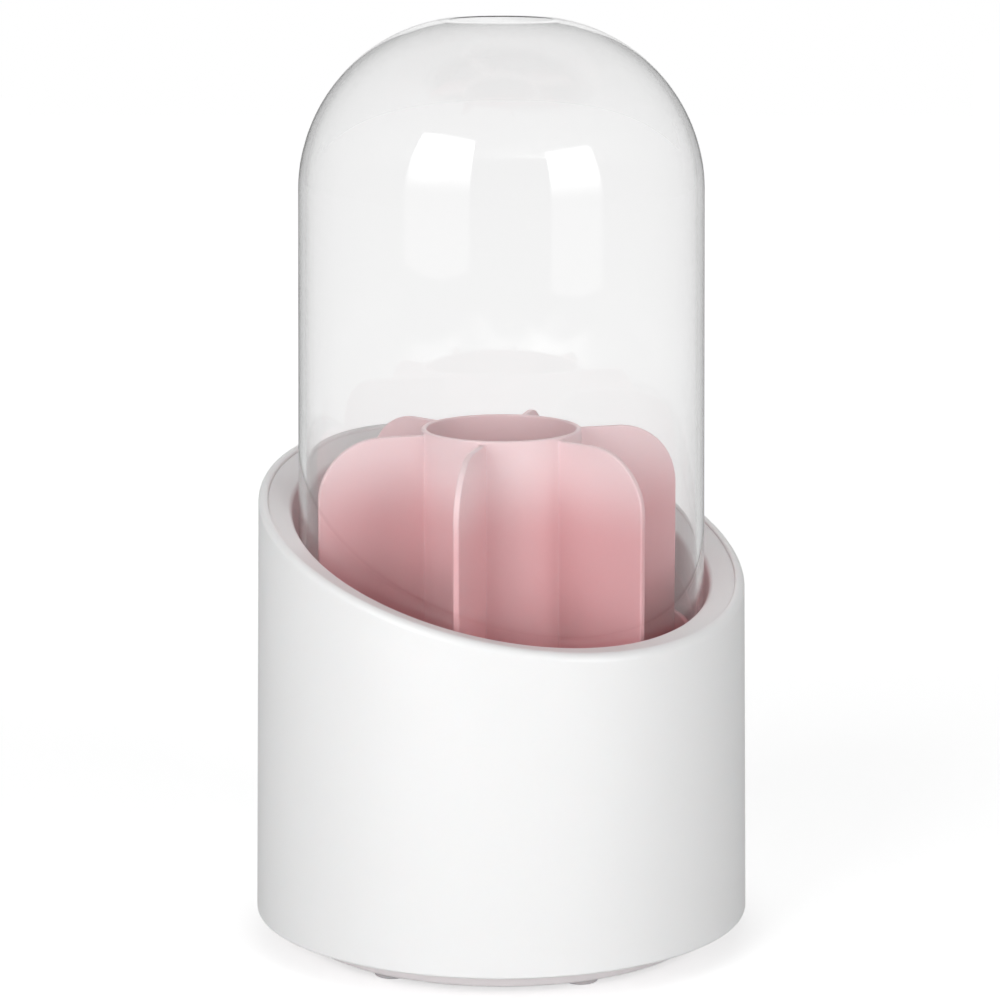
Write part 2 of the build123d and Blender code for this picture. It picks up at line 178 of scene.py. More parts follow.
@dataclass(frozen=True)
class Moulded:
    """Injection-moulded plastic: an even colour, fine tool marks and a soft gloss.

    Args:
        name: Plain name of the material.
        colour: sRGB hex of the clean surface.
        shade: sRGB hex that the colour drifts to, from uneven flow of the melt.
        roughness: Lowest and highest roughness over the surface.
        ior: Index of refraction of the plastic.
        grain_mm: Width of one mark of the mould's surface.
        grain_depth_mm: Height of those marks.
        glow: Share of light that scatters under the surface.
        glow_mm: How far that light travels.
        painted_shade: Painted shade, a deeper colour towards the foot, if it has one.
    """

    name: str
    colour: str
    shade: str
    roughness: tuple[float, float]
    ior: float
    grain_mm: float
    grain_depth_mm: float
    glow: float = 0.0
    glow_mm: float = 1.0
    painted_shade: PaintedFootShade | None = None

    def build(self) -> Material:
        """Makes the material.

        Returns:
            The new material.
        """
        material = new_material(self.name)
        tree = material.node_tree
        place = add_node(tree, "ShaderNodeTexCoord").outputs["Object"]
        flow = add_node(
            tree,
            "ShaderNodeTexNoise",
            values={"Scale": 1 / (FLOW_MM * MM), "Detail": 2},
            links={"Vector": place},
        )
        tint = add_node(
            tree,
            "ShaderNodeMix",
            settings={"data_type": "RGBA"},
            values={COLOUR_A: linear(self.colour), COLOUR_B: linear(self.shade)},
            links={FACTOR: flow.outputs["Fac"]},
        )
        # Painted shade: the colour deepens towards the foot.
        colour = self.with_painted_shade(tree, place, tint.outputs[COLOUR_OUT])
        gloss = add_node(
            tree,
            "ShaderNodeMapRange",
            values={"To Min": self.roughness[0], "To Max": self.roughness[1]},
            links={"Value": flow.outputs["Fac"]},
        )
        grain = add_node(
            tree,
            "ShaderNodeTexNoise",
            values={"Scale": 1 / (self.grain_mm * MM), "Detail": 3},
            links={"Vector": place},
        )
        bump = add_node(
            tree,
            "ShaderNodeBump",
            values={"Strength": 1.0, "Distance": self.grain_depth_mm * MM},
            links={"Height": grain.outputs["Fac"]},
        )
        surface = add_node(
            tree,
            "ShaderNodeBsdfPrincipled",
            values={
                "IOR": self.ior,
                "Subsurface Weight": self.glow,
                "Subsurface Radius": GLOW_SPREAD,
                "Subsurface Scale": self.glow_mm * MM,
            },
            links={
                "Base Color": colour,
                "Roughness": gloss.outputs["Result"],
                "Normal": bump.outputs["Normal"],
            },
        )
        add_node(tree, "ShaderNodeOutputMaterial", links={"Surface": surface.outputs["BSDF"]})
        return material

    def with_painted_shade(self, tree: NodeTree, place: NodeSocket, colour: NodeSocket) -> NodeSocket:
        """Blends the painted shade, a deeper colour towards the foot, into a colour.

        Args:
            tree: Node tree of the material.
            place: Object coordinates.
            colour: Colour to blend into.

        Returns:
            The colour with the painted shade blended in, or the colour itself where there is none.
        """
        if self.painted_shade is None:
            return colour
        # Painted shade: the deeper colour is mixed in by height, fully below low_mm.
        parts = add_node(tree, "ShaderNodeSeparateXYZ", links={"Vector": place})
        rise = add_node(
            tree,
            "ShaderNodeMapRange",
            settings={"interpolation_type": "SMOOTHSTEP"},
            values={"From Min": self.painted_shade.low_mm * MM, "From Max": self.painted_shade.high_mm * MM},
            links={"Value": parts.outputs["Z"]},
        )
        blend = add_node(
            tree,
            "ShaderNodeMix",
            settings={"data_type": "RGBA"},
            values={COLOUR_A: linear(self.painted_shade.colour)},
            links={FACTOR: rise.outputs["Result"], COLOUR_B: colour},
        )
        return blend.outputs[COLOUR_OUT]


@dataclass(frozen=True)
class ClearPlastic:
    """Clear polystyrene from a polished mould: sharp reflections with a slight waviness."""

    name: str = "Clear moulded polystyrene"
    colour: str = "#FAFAFA"
    roughness: float = 0.01
    ior: float = 1.50
    wave_mm: float = 22.0
    wave_depth_mm: float = 0.02

    def build(self) -> Material:
        """Makes the material.

        Returns:
            The new material.
        """
        material = new_material(self.name)
        tree = material.node_tree
        place = add_node(tree, "ShaderNodeTexCoord").outputs["Object"]
        wave = add_node(
            tree,
            "ShaderNodeTexNoise",
            values={"Scale": 1 / (self.wave_mm * MM), "Detail": 0},
            links={"Vector": place},
        )
        bump = add_node(
            tree,
            "ShaderNodeBump",
            values={"Strength": 1.0, "Distance": self.wave_depth_mm * MM},
            links={"Height": wave.outputs["Fac"]},
        )
        surface = add_node(
            tree,
            "ShaderNodeBsdfPrincipled",
            values={
                "Base Color": linear(self.colour),
                "Roughness": self.roughness,
                "IOR": self.ior,
                "Transmission Weight": 1.0,
            },
            links={"Normal": bump.outputs["Normal"]},
        )
        add_node(tree, "ShaderNodeOutputMaterial", links={"Surface": surface.outputs["BSDF"]})
        return material


@dataclass(frozen=True)
class Steel:
    """Steel, ground or zinc plated, with fine scratches that change its gloss."""

    name: str
    colour: str
    roughness: tuple[float, float]
    scratch_mm: float

    def build(self) -> Material:
        """Makes the material.

        Returns:
            The new material.
        """
        material = new_material(self.name)
        tree = material.node_tree
        place = add_node(tree, "ShaderNodeTexCoord").outputs["Object"]
        scratches = add_node(
            tree,
            "ShaderNodeTexNoise",
            values={"Scale": 1 / (self.scratch_mm * MM), "Detail": 4},
            links={"Vector": place},
        )
        gloss = add_node(
            tree,
            "ShaderNodeMapRange",
            values={"To Min": self.roughness[0], "To Max": self.roughness[1]},
            links={"Value": scratches.outputs["Fac"]},
        )
        surface = add_node(
            tree,
            "ShaderNodeBsdfPrincipled",
            values={"Base Color": linear(self.colour), "Metallic": 1.0},
            links={"Roughness": gloss.outputs["Result"]},
        )
        add_node(tree, "ShaderNodeOutputMaterial", links={"Surface": surface.outputs["BSDF"]})
        return material


# Soft-gloss ABS from a polished mould. It looks white and even, with a faint broad sheen.
WHITE_ABS = Moulded(
    "Soft-gloss white ABS",
    "#F4F4F4",
    "#F2F2F2",
    roughness=(0.36, 0.44),
    ior=1.54,
    grain_mm=0.8,
    grain_depth_mm=0.0012,
    glow=0.05,
    glow_mm=1.5,
)
# The same resin inside the drum, a touch duller from a blasted core.
LINER_ABS = Moulded(
    "Satin white ABS",
    "#F2F2F2",
    "#EFEFEF",
    roughness=(0.34, 0.42),
    ior=1.54,
    grain_mm=0.8,
    grain_depth_mm=0.0015,
    glow=0.05,
    glow_mm=1.5,
)
# Tinted ABS whose thin walls let some light through, pale at free edges. Towards its foot it is
# warmer and darker by painted shade.
PINK_ABS = Moulded(
    "Pale pink ABS",
    "#F7DCDE",
    "#F5D8DB",
    roughness=(0.38, 0.46),
    ior=1.54,
    grain_mm=0.7,
    grain_depth_mm=0.0015,
    glow=0.15,
    glow_mm=2.0,
    # Painted shade: a deeper pink below 143 mm, full at 118 mm, for the shade among the fins.
    painted_shade=PaintedFootShade("#E4ACB0", low_mm=118.0, high_mm=143.0),
)
# Polypropylene with a fine blasted texture. It looks off-white and satin.
BASE_PP = Moulded(
    "Satin off-white polypropylene",
    "#F6F1F2",
    "#F2ECED",
    roughness=(0.42, 0.52),
    ior=1.49,
    grain_mm=0.5,
    grain_depth_mm=0.003,
)
# Moulded nylon is a little yellow and waxy.
CAGE_NYLON = Moulded(
    "Natural nylon",
    "#E4E0D2",
    "#DEDACB",
    roughness=(0.38, 0.46),
    ior=1.53,
    grain_mm=0.6,
    grain_depth_mm=0.002,
    glow=0.1,
)
# Soft rubber has a dull, slightly milky skin.
PAD_RUBBER = Moulded(
    "Translucent rubber",
    "#D2CDCF",
    "#CBC6C8",
    roughness=(0.55, 0.68),
    ior=1.52,
    grain_mm=0.4,
    grain_depth_mm=0.004,
    glow=0.2,
)
# Ground balls are bright and smooth. Zinc plating is greyer and fairly dull.
BALL_STEEL = Steel("Polished ball steel", "#C9CACC", roughness=(0.06, 0.12), scratch_mm=0.6)
SCREW_STEEL = Steel("Zinc-plated steel", "#B9BCC0", roughness=(0.30, 0.40), scratch_mm=0.4)
DOME_PLASTIC = ClearPlastic()


# Mesh tools, all in millimetres


def spin_section(
    bm: BMesh, corners: Sequence[Corner], steps: int, closed: bool = False
) -> list[Any]:
    """Turns a section of (radius, height) corners about the upright axis.

    Args:
        bm: Mesh that gets the turned faces.
        corners: Section in the XZ plane.
        steps: Number of faces round the axis.
        closed: True if the last corner is joined to the first.

    Returns:
        The new vertices, edges and faces.
    """
    before = set(bm.verts)
    verts = [bm.verts.new((radius, 0, height)) for radius, height in corners]
    ends = zip(verts, verts[1:] + verts[:1]) if closed else zip(verts, verts[1:])
    edges = [bm.edges.new(pair) for pair in ends]
    bmesh.ops.spin(
        bm,
        geom=verts + edges,
        cent=(0, 0, 0),
        axis=(0, 0, 1),
        angle=math.tau,
        steps=steps,
        use_merge=True,
    )
    bmesh.ops.remove_doubles(bm, verts=[v for v in bm.verts if v not in before], dist=MERGE_MM)
    made = [v for v in bm.verts if v not in before]
    made_edges = [e for e in bm.edges if e.verts[0] not in before]
    made_faces = [f for f in bm.faces if f.verts[0] not in before]
    return made + made_edges + made_faces


def arc_corners(
    centre: Corner, radius: float, start: float, end: float, steps: int
) -> list[Corner]:
    """Corners along an arc of a section, with angles in degrees from the outward direction."""
    angles = [math.radians(start + (end - start) * i / steps) for i in range(steps + 1)]
    return [(centre[0] + radius * math.cos(a), centre[1] + radius * math.sin(a)) for a in angles]


def slanted_cut(
    bm: BMesh, geom: Iterable[Any], height: float, slant: float, thrown: Side
) -> list[BMEdge]:
    """Cuts geometry along the slanted plane of the drum's mouth.

    Args:
        bm: Mesh that is cut.
        geom: Vertices, edges and faces that the cut reaches.
        height: Where the plane meets the upright axis.
        slant: Angle of the plane in degrees, low towards -Y.
        thrown: Side of the plane that is thrown away.

    Returns:
        The edges that lie on the cut.
    """
    tilt = math.radians(slant)
    alive = [g for g in geom if g.is_valid]
    result = bmesh.ops.bisect_plane(
        bm,
        geom=alive,
        dist=CUT_MM,
        plane_co=(0, 0, height),
        plane_no=(0, -math.sin(tilt), math.cos(tilt)),
        clear_outer=thrown is Side.ABOVE,
        clear_inner=thrown is Side.BELOW,
    )
    return [g for g in result["geom_cut"] if isinstance(g, BMEdge)]


def round_edges(bm: BMesh, edges: Iterable[BMEdge], size: float, segments: int) -> None:
    """Rounds edges to an even arc.

    Args:
        bm: Mesh that holds them.
        edges: Edges to round. Those that an earlier step has used up are left out.
        size: Radius of the arc.
        segments: Number of faces across the arc.
    """
    chosen = [e for e in edges if e.is_valid]
    bmesh.ops.bevel(
        bm,
        geom=chosen,
        offset=size,
        offset_type="OFFSET",
        affect="EDGES",
        segments=segments,
        profile=0.5,
        material=-1,
        clamp_overlap=True,
    )


def ring_edges(bm: BMesh, radius: float, height: float) -> list[BMEdge]:
    """Finds the edges of a level ring.

    Args:
        bm: Mesh that holds it.
        radius: Its radius.
        height: Its height.

    Returns:
        Its edges.
    """

    def on_ring(vert: BMVert) -> bool:
        """Tells whether a corner lies on the ring."""
        reach = math.hypot(vert.co.x, vert.co.y)
        return abs(reach - radius) < RING_MM and abs(vert.co.z - height) < RING_MM

    return [e for e in bm.edges if all(on_ring(v) for v in e.verts)]


def finish_piece(
    bm: BMesh, name: str, material: Material, body: Body, nodes: Sequence[str]
) -> Object:
    """Turns a mesh in millimetres into a finished piece of the scene.

    Args:
        bm: Mesh to use, which is freed.
        name: Name of the piece.
        material: Its finish.
        body: Body that it rides on.
        nodes: Nodes of the frame that it stands for.

    Returns:
        The new object.
    """
    bmesh.ops.remove_doubles(bm, verts=bm.verts, dist=MERGE_MM)
    bmesh.ops.recalc_face_normals(bm, faces=bm.faces)
    bmesh.ops.scale(bm, vec=(MM, MM, MM), verts=bm.verts)
    mesh = bpy.data.meshes.new(name)
    bm.to_mesh(mesh)
    bm.free()
    mesh.polygons.foreach_set("use_smooth", [True] * len(mesh.polygons))
    mesh.set_sharp_from_angle(angle=math.radians(SHARP_ANGLE))
    mesh.materials.append(material)
    piece = bpy.data.objects.new(name, mesh)
    bpy.context.scene.collection.objects.link(piece)
    even = piece.modifiers.new("Even shading", "WEIGHTED_NORMAL")
    even.keep_sharp = True
    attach(piece, body.value)
    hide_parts(*nodes)
    LOG.info("%s: %d faces on %s", name, len(mesh.polygons), body.value)
    return piece


def drafted(radius: float, start: float, height: float, draft: float) -> float:
    """Radius at a height, of a wall that narrows by a draft angle as it rises."""
    return radius - (height - start) * math.tan(math.radians(draft))


# Sub-assemblies


@dataclass
class Drum:
    """White drum: outer shell with a slanted rounded lip, and the cup inside it.

    Sizes are in millimetres and angles in degrees, as in the other sub-assemblies. The cup's
    shoulder is dished, and stands a little under the shell's lip and clear of its wall.
    """

    slant: float = 17.4
    steps: int = 256
    bottom: float = 7.5
    foot_radius: float = 70.0
    wall: float = 2.75
    draft: float = 0.88
    foot_round: float = 0.8
    foot_land: float = 1.4
    cover_top: float = 10.5
    rim_height: float = 116.3
    lip_outer_round: float = 1.7
    lip_inner_round: float = 0.62
    cup_floor: float = 56.0
    cup_floor_gap: float = 6.4
    cup_wall: float = 2.0
    cup_draft: float = 0.6
    mouth_round: float = 1.2
    shoulder_drop: float = 0.65
    shoulder_dish: float = 2.05
    shoulder_thickness: float = 2.0
    shoulder_play: float = 0.04
    shoulder_round: float = 0.15
    post_radius: float = 3.5
    post_bottom: float = 13.0
    post_circle: float = 50.0
    post_angles: tuple[float, ...] = (50.0, 140.0, 230.0, 320.0)
    post_steps: int = 32

    def shell_outside(self, height: float) -> float:
        """Radius of the shell's outside at a height."""
        return drafted(self.foot_radius, self.bottom, height, self.draft)

    def shell_inside(self, height: float) -> float:
        """Radius of the shell's inside at a height."""
        return self.shell_outside(height) - self.wall

    def shoulder_outside(self, height: float) -> float:
        """Radius of the shoulder's edge at a height."""
        return self.shell_inside(height) - self.shoulder_play

    def cup_inside(self, height: float) -> float:
        """Radius of the cup's inside at a height."""
        floor_radius = self.shell_inside(self.cup_floor) - self.cup_floor_gap - self.cup_wall
        return drafted(floor_radius, self.cup_floor, height, -self.cup_draft)

    def cup_outside(self, height: float) -> float:
        """Radius of the cup's outside at a height."""
        return self.cup_inside(height) + self.cup_wall

    def build_shell(self, finish: Material) -> Object:
        """Makes the outer shell: a turned wall, cut on the slant and rounded at lip and foot.

        Args:
            finish: Its material.

        Returns:
            The new piece.
        """
        bm = bmesh.new()
        top = self.rim_height + self.foot_radius
        land = self.shell_outside(self.bottom) - self.foot_land
        section = [
            (self.shell_outside(self.bottom), self.bottom),
            (self.shell_outside(top), top),
            (self.shell_inside(top), top),
            (self.shell_inside(self.cover_top), self.cover_top),
            (land, self.cover_top),
            (land, self.bottom),
        ]
        wall = spin_section(bm, section, self.steps, closed=True)
        rim = slanted_cut(bm, wall, self.rim_height, self.slant, Side.ABOVE)
        bmesh.ops.bridge_loops(bm, edges=rim)
        middle = self.shell_outside(self.rim_height) - self.wall / 2
        outer = [e for e in rim if e.verts[0].co.xy.length > middle]
        inner = [e for e in rim if e.verts[0].co.xy.length < middle]
        round_edges(bm, outer, self.lip_outer_round, segments=8)
        round_edges(bm, inner, self.lip_inner_round, segments=4)
        round_edges(bm, ring_edges(bm, self.foot_radius, self.bottom), self.foot_round, segments=4)
        return finish_piece(bm, "shell", finish, Body.CASING, ["outer_shell"])

    def build_cup(self, finish: Material) -> Object:
        """Makes the cup: turned walls, a dished shoulder between slanted cuts, and posts.

        Args:
            finish: Its material.

        Returns:
            The new piece.
        """
        bm = bmesh.new()
        top = self.rim_height + self.foot_radius
        shoulder_height = self.rim_height - self.shoulder_drop
        mouth_height = shoulder_height - self.shoulder_dish
        reach = self.shoulder_outside(shoulder_height) - self.cup_inside(mouth_height)
        lean = self.shoulder_dish / reach
        inside = [
            (0, self.cup_floor),
            (self.cup_inside(self.cup_floor), self.cup_floor),
            (self.cup_inside(top), top),
        ]
        skin = spin_section(bm, inside, self.steps)
        mouth = slanted_cut(bm, skin, mouth_height, self.slant, Side.ABOVE)
        floor_under = self.cup_floor - self.cup_wall
        outside = [
            (0, floor_under),
            (self.cup_outside(self.cup_floor), floor_under),
            (self.cup_outside(top), top),
        ]
        neck_height = mouth_height + self.cup_wall * lean - self.shoulder_thickness
        skin = spin_section(bm, outside, self.steps)
        neck = slanted_cut(bm, skin, neck_height, self.slant, Side.ABOVE)
        edge = [(self.shoulder_outside(0), 0), (self.shoulder_outside(top), top)]
        band = spin_section(bm, edge, self.steps)
        upper = slanted_cut(bm, band, shoulder_height, self.slant, Side.ABOVE)
        low_height = shoulder_height - self.shoulder_thickness
        lower = slanted_cut(bm, band, low_height, self.slant, Side.BELOW)
        bmesh.ops.bridge_loops(bm, edges=mouth + upper)
        bmesh.ops.bridge_loops(bm, edges=neck + lower)
        round_edges(bm, mouth, self.mouth_round, segments=6)
        round_edges(bm, upper, self.shoulder_round, segments=2)
        for angle in self.post_angles:
            self.add_post(bm, math.radians(angle), floor_under)
        return finish_piece(bm, "cup", finish, Body.CASING, ["inner_liner"])

    def add_post(self, bm: BMesh, angle: float, top: float) -> None:
        """Adds one screw post under the cup's floor.

        Args:
            bm: Mesh of the cup.
            angle: Angle of the post about the axis, in radians.
            top: Height of the floor's underside.
        """
        middle = (self.post_bottom + top) / 2
        across, along = math.cos(angle), math.sin(angle)
        place = Vector((self.post_circle * across, self.post_circle * along, middle))
        bmesh.ops.create_cone(
            bm,
            cap_ends=True,
            segments=self.post_steps,
            radius1=self.post_radius,
            radius2=self.post_radius,
            depth=top - self.post_bottom,
            matrix=Matrix.Translation(place),
        )


@dataclass
class DividerTray:
    """Pink tray in one moulding: floor flange, low round wall, and a tube with six fins on it.

    A fin's flanks are found by their place, which is further out than flank_reach, and their
    normal, whose share to the fin's side is over "along". Their edges get rounded where the face
    beyond turns away, so that its own share is under "across".
    """

    bottom: float = 56.0
    floor: float = 1.6
    flange_radius: float = 57.75
    low_wall_radius: float = 53.7
    low_wall_top: float = 90.0
    wall: float = 1.5
    wall_root: float = 0.6
    top: float = 146.0
    tube_radius: float = 22.45
    tube_draft: float = 0.4
    tube_steps: int = 78
    fins: int = 6
    fin_phase: float = 42.0
    fin_drop: float = 1.0
    fin_corner: float = 17.5
    fin_overlap: float = 0.15
    edge_round: float = 0.5
    root_round: float = 0.45
    sunk: float = 0.5
    base_steps: int = 192
    flank_reach: float = 30.0
    along: float = 0.999
    across: float = 0.3

    def tube_outside(self, height: float) -> float:
        """Radius of the tube's outside at a height."""
        return drafted(self.tube_radius, self.top, height, self.tube_draft)

    def tube_inside(self, height: float) -> float:
        """Radius of the tube's inside at a height."""
        return drafted(self.tube_radius - self.wall, self.top, height, -self.tube_draft)

    def build(self, finish: Material) -> Object:
        """Makes the tray: its floor, and its finned tube, whose foot is sunk in that floor.

        Args:
            finish: Its material.

        Returns:
            The new piece.
        """
        bm = bmesh.new()
        self.add_base(bm)
        self.add_finned_tube(bm)
        nodes = ["tray_base", "tray_tube"] + [f"tray_fin_{index + 1}" for index in range(self.fins)]
        return finish_piece(bm, "divider_tray", finish, Body.TRAY, nodes)

    def add_base(self, bm: BMesh) -> None:
        """Adds the floor flange and the low wall, with rounded roots and edge.

        Args:
            bm: Mesh of the tray.
        """
        floor_top = self.bottom + self.floor
        inside = self.low_wall_radius - self.wall
        section = [
            (0, self.bottom),
            (self.flange_radius, self.bottom),
            (self.flange_radius, floor_top),
            (self.low_wall_radius, floor_top),
            (self.low_wall_radius, self.low_wall_top),
            (inside, self.low_wall_top),
            (inside, floor_top),
            (0, floor_top),
        ]
        spin_section(bm, section, self.base_steps)
        for radius in (self.low_wall_radius, inside):
            round_edges(bm, ring_edges(bm, radius, floor_top), self.wall_root, segments=4)
            round_edges(bm, ring_edges(bm, radius, self.low_wall_top), self.edge_round, segments=4)

    def add_finned_tube(self, bm: BMesh) -> None:
        """Adds the tube, drawn up its outside and down its inside, and pulls the fins out of it.

        Args:
            bm: Mesh of the tray.
        """
        foot = self.bottom + self.floor - self.sunk
        fin_top = self.top - self.fin_drop
        turn = Matrix.Rotation(math.radians(self.fin_phase), 4, "Z")
        circle = bmesh.ops.create_circle(
            bm,
            segments=self.tube_steps,
            radius=self.tube_outside(foot),
            matrix=Matrix.Translation((0, 0, foot)) @ turn,
        )
        foot_verts = set(circle["verts"])
        outer_foot = [e for e in bm.edges if e.verts[0] in foot_verts]
        under_fins = self.draw_ring(bm, outer_foot, self.tube_outside(fin_top), fin_top)
        outside = [e.link_faces[0] for e in under_fins]
        outer_top = self.draw_ring(bm, under_fins, self.tube_outside(self.top), self.top)
        inner_top = self.draw_ring(bm, outer_top, self.tube_inside(self.top), self.top)
        inner_foot = self.draw_ring(bm, inner_top, self.tube_inside(foot), foot)
        bmesh.ops.bridge_loops(bm, edges=outer_foot + inner_foot)
        round_edges(bm, outer_top + inner_top, self.edge_round, segments=4)
        for index in range(self.fins):
            self.pull_fin(bm, outside, math.radians(self.fin_phase + 360 / self.fins * index))

    def draw_ring(
        self, bm: BMesh, edges: Sequence[BMEdge], radius: float, height: float
    ) -> list[BMEdge]:
        """Extrudes a ring of edges to a new radius and height.

        Args:
            bm: Mesh that holds the ring.
            edges: Edges of the ring.
            radius: Radius of the new ring.
            height: Height of the new ring.

        Returns:
            Edges of the new ring.
        """
        made = bmesh.ops.extrude_edge_only(bm, edges=edges)["geom"]
        verts = [g for g in made if isinstance(g, BMVert)]
        start = verts[0].co.copy()
        growth = radius / start.xy.length
        bmesh.ops.scale(bm, vec=(growth, growth, 1), verts=verts)
        bmesh.ops.translate(bm, vec=(0, 0, height - start.z), verts=verts)
        ring = set(verts)
        return [g for g in made if isinstance(g, BMEdge) and all(v in ring for v in g.verts)]

    def pull_fin(self, bm: BMesh, outside: Sequence[BMFace], angle: float) -> None:
        """Pulls one fin out of the tube, then rounds its upper corner, its roots and its edges.

        Args:
            bm: Mesh that holds the tube.
            outside: Faces of the tube's outside, up to the height of the fins.
            angle: Angle of the fin about the tube, in radians.
        """
        out = Vector((math.cos(angle), math.sin(angle), 0))
        side = Vector((-out.y, out.x, 0))
        reach = self.low_wall_radius - self.wall + self.fin_overlap
        floor_top = self.bottom + self.floor
        whole = [f for f in outside if f.is_valid]
        face = max(whole, key=lambda f: f.calc_center_median().dot(out))
        rim = list(face.edges)
        pulled = bmesh.ops.extrude_discrete_faces(bm, faces=[face])["faces"][0]
        for vert in pulled.verts:
            bmesh.ops.translate(bm, vec=out * (reach - vert.co.dot(out)), verts=[vert])
        corner = max(pulled.edges, key=lambda e: (e.verts[0].co + e.verts[1].co).z)
        roots = [e for e in rim if e.is_valid and max(v.co.z for v in e.verts) > floor_top]
        round_edges(bm, [corner], self.fin_corner, segments=24)
        round_edges(bm, roots, self.root_round, segments=4)
        bm.normal_update()
        flanks = [
            f
            for f in bm.faces
            if abs(f.normal.dot(side)) > self.along
            and f.calc_center_median().dot(out) > self.flank_reach
        ]
        edges = [
            e
            for f in flanks
            for e in f.edges
            if max(v.co.z for v in e.verts) > floor_top
            and any(abs(g.normal.dot(side)) < self.across for g in e.link_faces)
        ]
        round_edges(bm, edges, self.edge_round, segments=4)


@dataclass
class Dome:
    """Clear dome: drafted side, round shoulder, and a shallow disc sunk in its top.

    Its wall thins towards the crown. In an even wall, light is caught under the flat top, which
    then looks black.
    """

    steps: int = 320
    foot_radius: float = 57.6
    foot_height: float = 57.6
    foot_round: float = 0.4
    wall: float = 2.0
    draft: float = 0.53
    top: float = 259.5
    shoulder_inset: float = 9.9
    cap_radius: float = 18.0
    cap_blend: float = 12.0
    crown_wall: float = 0.9
    crown_inset: float = 1.0
    crown_blend: float = 10.0
    cap_land: float = 1.0
    cap_slope: float = 0.5
    cap_sink: float = 0.15
    cap_soften: float = 0.15
    side_steps: int = 48
    crown_steps: int = 8

    def half_section(
        self, inset: float, top: float, corner_inset: float, blend: float
    ) -> list[Corner]:
        """Corners of one skin of the dome, from its foot to its flat top.

        Args:
            inset: How far the skin lies inside the outer one.
            top: Height of its flat top.
            corner_inset: How much smaller its flat top is than the outer one.
            blend: Radius that eases its shoulder into the flat top.

        Returns:
            Corners from the foot upwards.
        """
        arc = self.foot_radius - self.shoulder_inset
        corner = self.cap_radius - self.shoulder_inset
        shoulder = self.top - math.sqrt(arc**2 - corner**2)
        narrowing = (shoulder - self.foot_height) * math.tan(math.radians(self.draft))
        centre = self.shoulder_inset - narrowing
        radius = arc - inset
        rise = math.sqrt(radius**2 - (corner - corner_inset) ** 2)
        lift = rise - blend
        reach = math.sqrt((radius - blend) ** 2 - lift**2)
        turn = math.degrees(math.atan2(lift, reach))
        side = arc_corners((centre, 0), radius, 0, turn, self.side_steps)
        crown = arc_corners((centre + reach, lift), blend, turn, 90, self.crown_steps)
        stretch = (top - shoulder) / rise
        eased = [(across, shoulder + up * stretch) for across, up in side + crown[1:]]
        return [(self.foot_radius - inset, self.foot_height)] + eased

    def build(self, finish: Material) -> Object:
        """Makes the dome, which lets lamps and soft light through to the tray.

        Args:
            finish: Its material.

        Returns:
            The new piece.
        """
        bm = bmesh.new()
        outer = self.half_section(0, self.top, 0, self.cap_blend)
        cap_edge = outer[-1][0] - self.cap_land
        sunk = self.top - self.cap_sink
        cap = [(cap_edge, self.top), (cap_edge - self.cap_slope, sunk), (0, sunk)]
        inner_top = self.top - self.crown_wall
        inner = self.half_section(self.wall, inner_top, self.crown_inset, self.crown_blend)
        section = [(0, inner_top)] + inner[::-1] + outer + cap
        spin_section(bm, section, self.steps)
        for radius, height in cap[:2]:
            round_edges(bm, ring_edges(bm, radius, height), self.cap_soften, segments=6)
        for radius in (self.foot_radius, self.foot_radius - self.wall):
            round_edges(bm, ring_edges(bm, radius, self.foot_height), self.foot_round, segments=3)
        piece = finish_piece(bm, "dome", finish, Body.DOME, ["dome_cover"])
        piece.visible_shadow = False
        piece.visible_diffuse = False
        return piece


@dataclass
class Hardware:
    """Nodes of the frame whose shape is shown as it is, in a better finish."""

    nodes: Mapping[str, Object]

    def dress(self, finish: Material, *prefixes: str) -> None:
        """Gives every node whose name starts with one of the prefixes its finish.

        Args:
            finish: Material that they get.
            *prefixes: Starts of the nodes' names.
        """
        names = [name for name in self.nodes if name.startswith(prefixes)]
        for name in names:
            materials = self.nodes[name].data.materials
            if not materials:
                materials.append(finish)
            for index in range(len(materials)):
                materials[index] = finish
        LOG.info("%s: %d nodes", finish.name, len(names))


